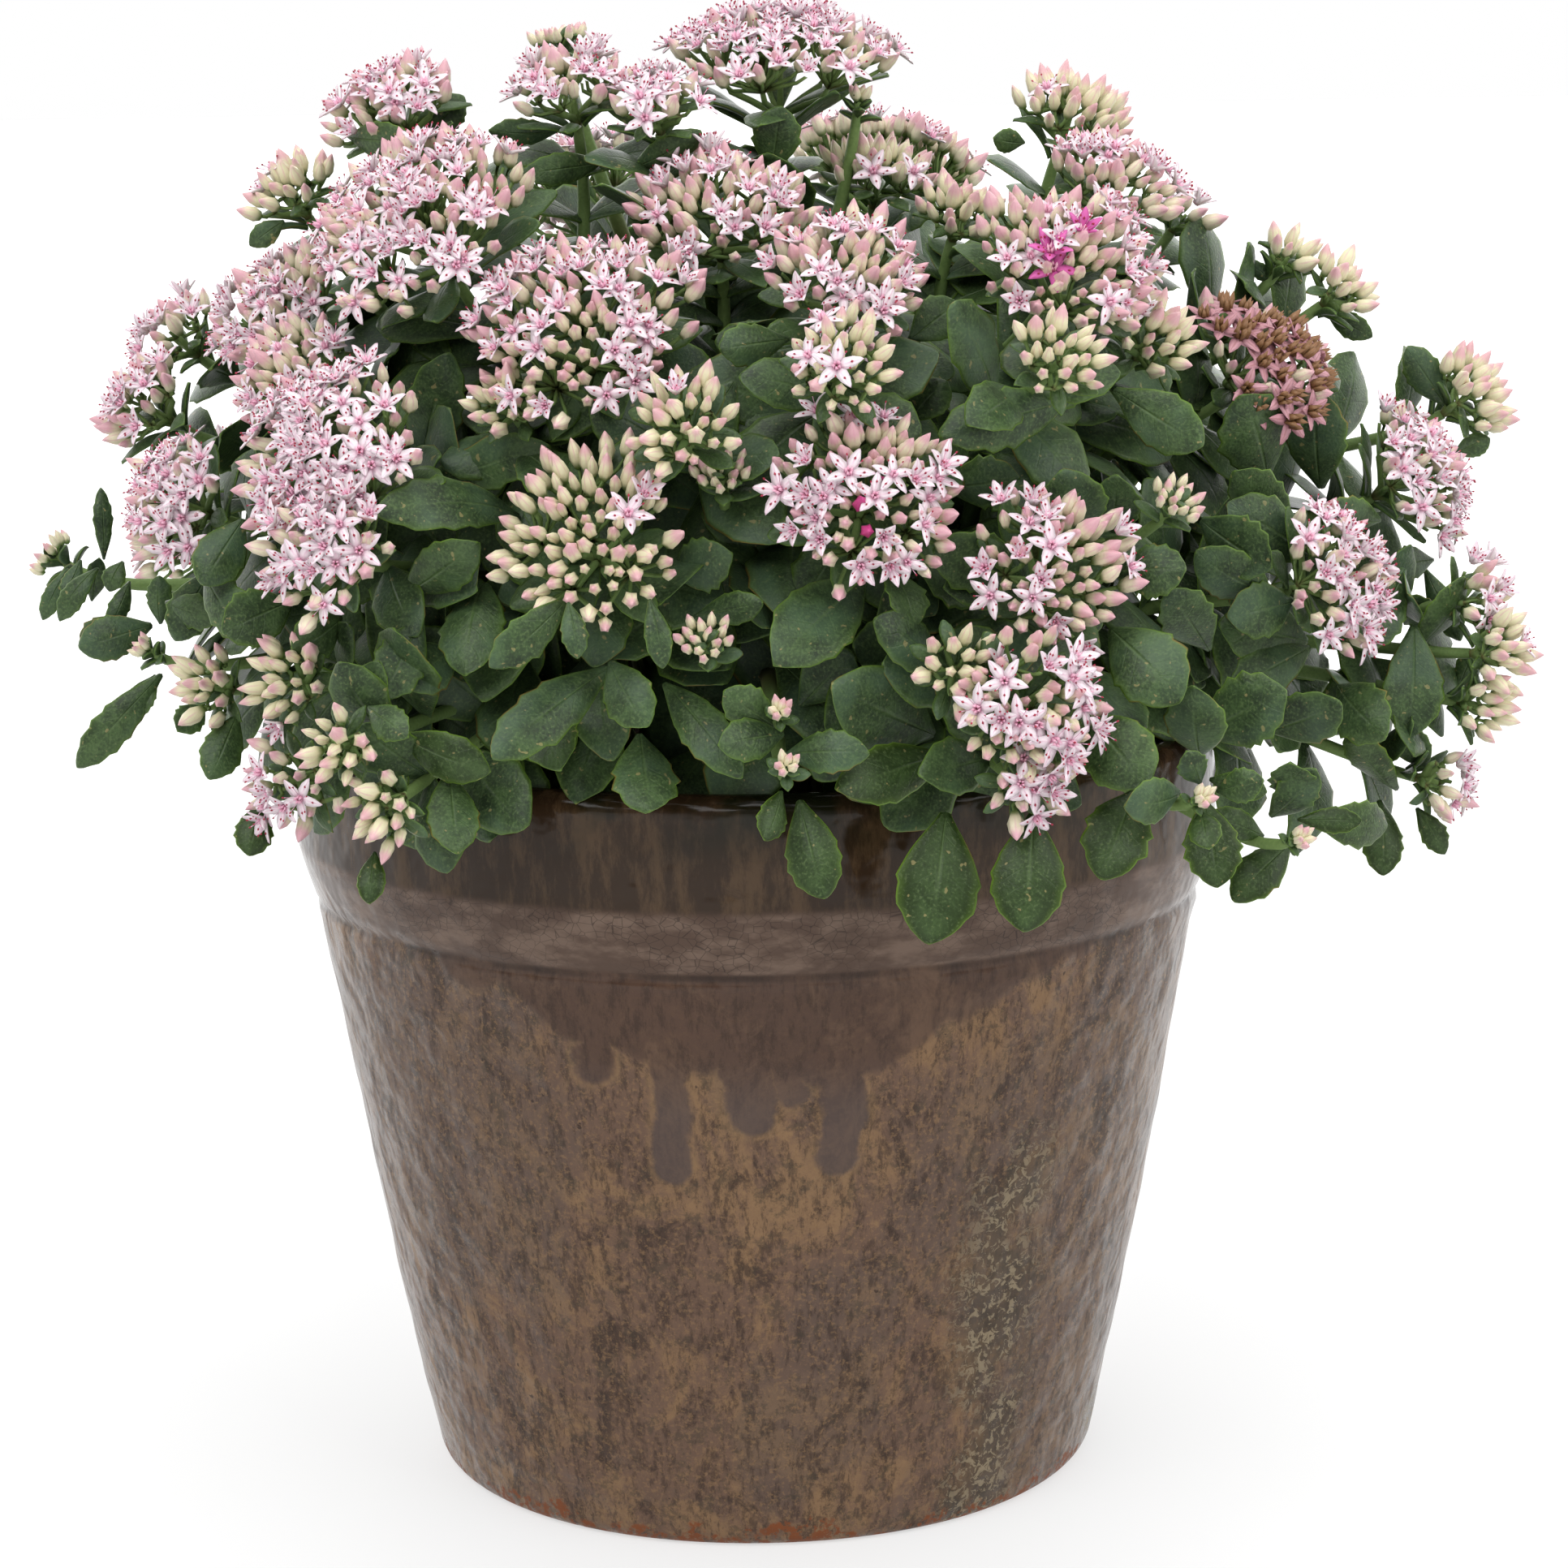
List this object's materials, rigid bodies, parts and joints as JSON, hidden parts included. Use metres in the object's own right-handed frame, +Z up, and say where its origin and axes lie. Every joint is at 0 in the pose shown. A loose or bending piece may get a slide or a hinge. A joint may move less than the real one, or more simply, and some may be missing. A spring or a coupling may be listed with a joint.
{
  "type": "potted stonecrop",
  "caption": "Mounded flowering stonecrop with starry pink flower heads and fleshy toothed leaves, growing in a tapered glazed ceramic pot.",
  "frame": {"origin": "centre of the pot's foot at floor level, under the middle of the plant", "axes": "+Z up along the pot's axis, -Y the front of the plant, +X to its right seen from the front"},
  "size_m": [0.4321, 0.3716, 0.4216],
  "materials": {
    "glaze": "glossy mottled brown glaze",
    "soil": "dark damp potting compost",
    "foliage": "satin fleshy leaves",
    "pink_florets": "soft petals",
    "florets_and_buds": "soft petals and buds",
    "cream_buds": "closed buds",
    "spent_florets": "withered florets"
  },
  "bodies": {
    "root": {"head_01": "pink_florets", "head_02": "pink_florets", "head_03": "florets_and_buds", "head_04": "cream_buds", "head_05": "cream_buds", "head_06": "cream_buds", "head_07": "pink_florets", "head_08": "florets_and_buds", "head_09": "florets_and_buds", "head_10": "cream_buds", "head_11": "cream_buds", "head_12": "pink_florets", "head_13": "cream_buds", "head_14": "cream_buds", "head_15": "florets_and_buds", "head_16": "pink_florets", "head_17": "cream_buds", "head_18": "cream_buds", "head_19": "pink_florets", "head_20": "florets_and_buds", "head_21": "pink_florets", "head_22": "pink_florets", "head_23": "pink_florets", "head_24": "pink_florets", "head_25": "cream_buds", "head_26": "cream_buds", "head_27": "cream_buds", "head_28": "pink_florets", "head_29": "cream_buds", "head_30": "cream_buds", "head_31": "florets_and_buds", "head_32": "florets_and_buds", "head_33": "pink_florets", "head_34": "pink_florets", "head_35": "pink_florets", "head_36": "cream_buds", "head_37": "cream_buds", "head_38": "spent_florets", "head_39": "florets_and_buds", "head_40": "pink_florets", "head_41": "pink_florets", "head_42": "florets_and_buds", "head_43": "pink_florets", "head_44": "florets_and_buds", "head_45": "pink_florets", "head_46": "florets_and_buds", "head_47": "pink_florets", "head_48": "pink_florets", "head_49": "pink_florets", "head_50": "cream_buds", "leafy_stems_01": "foliage", "leafy_stems_02": "foliage", "leafy_stems_03": "foliage", "leafy_stems_04": "foliage", "leafy_stems_05": "foliage", "leafy_stems_06": "foliage", "leafy_stems_07": "foliage", "leafy_stems_08": "foliage", "pot": "glaze", "soil": "soil"}
  },
  "joints": []
}
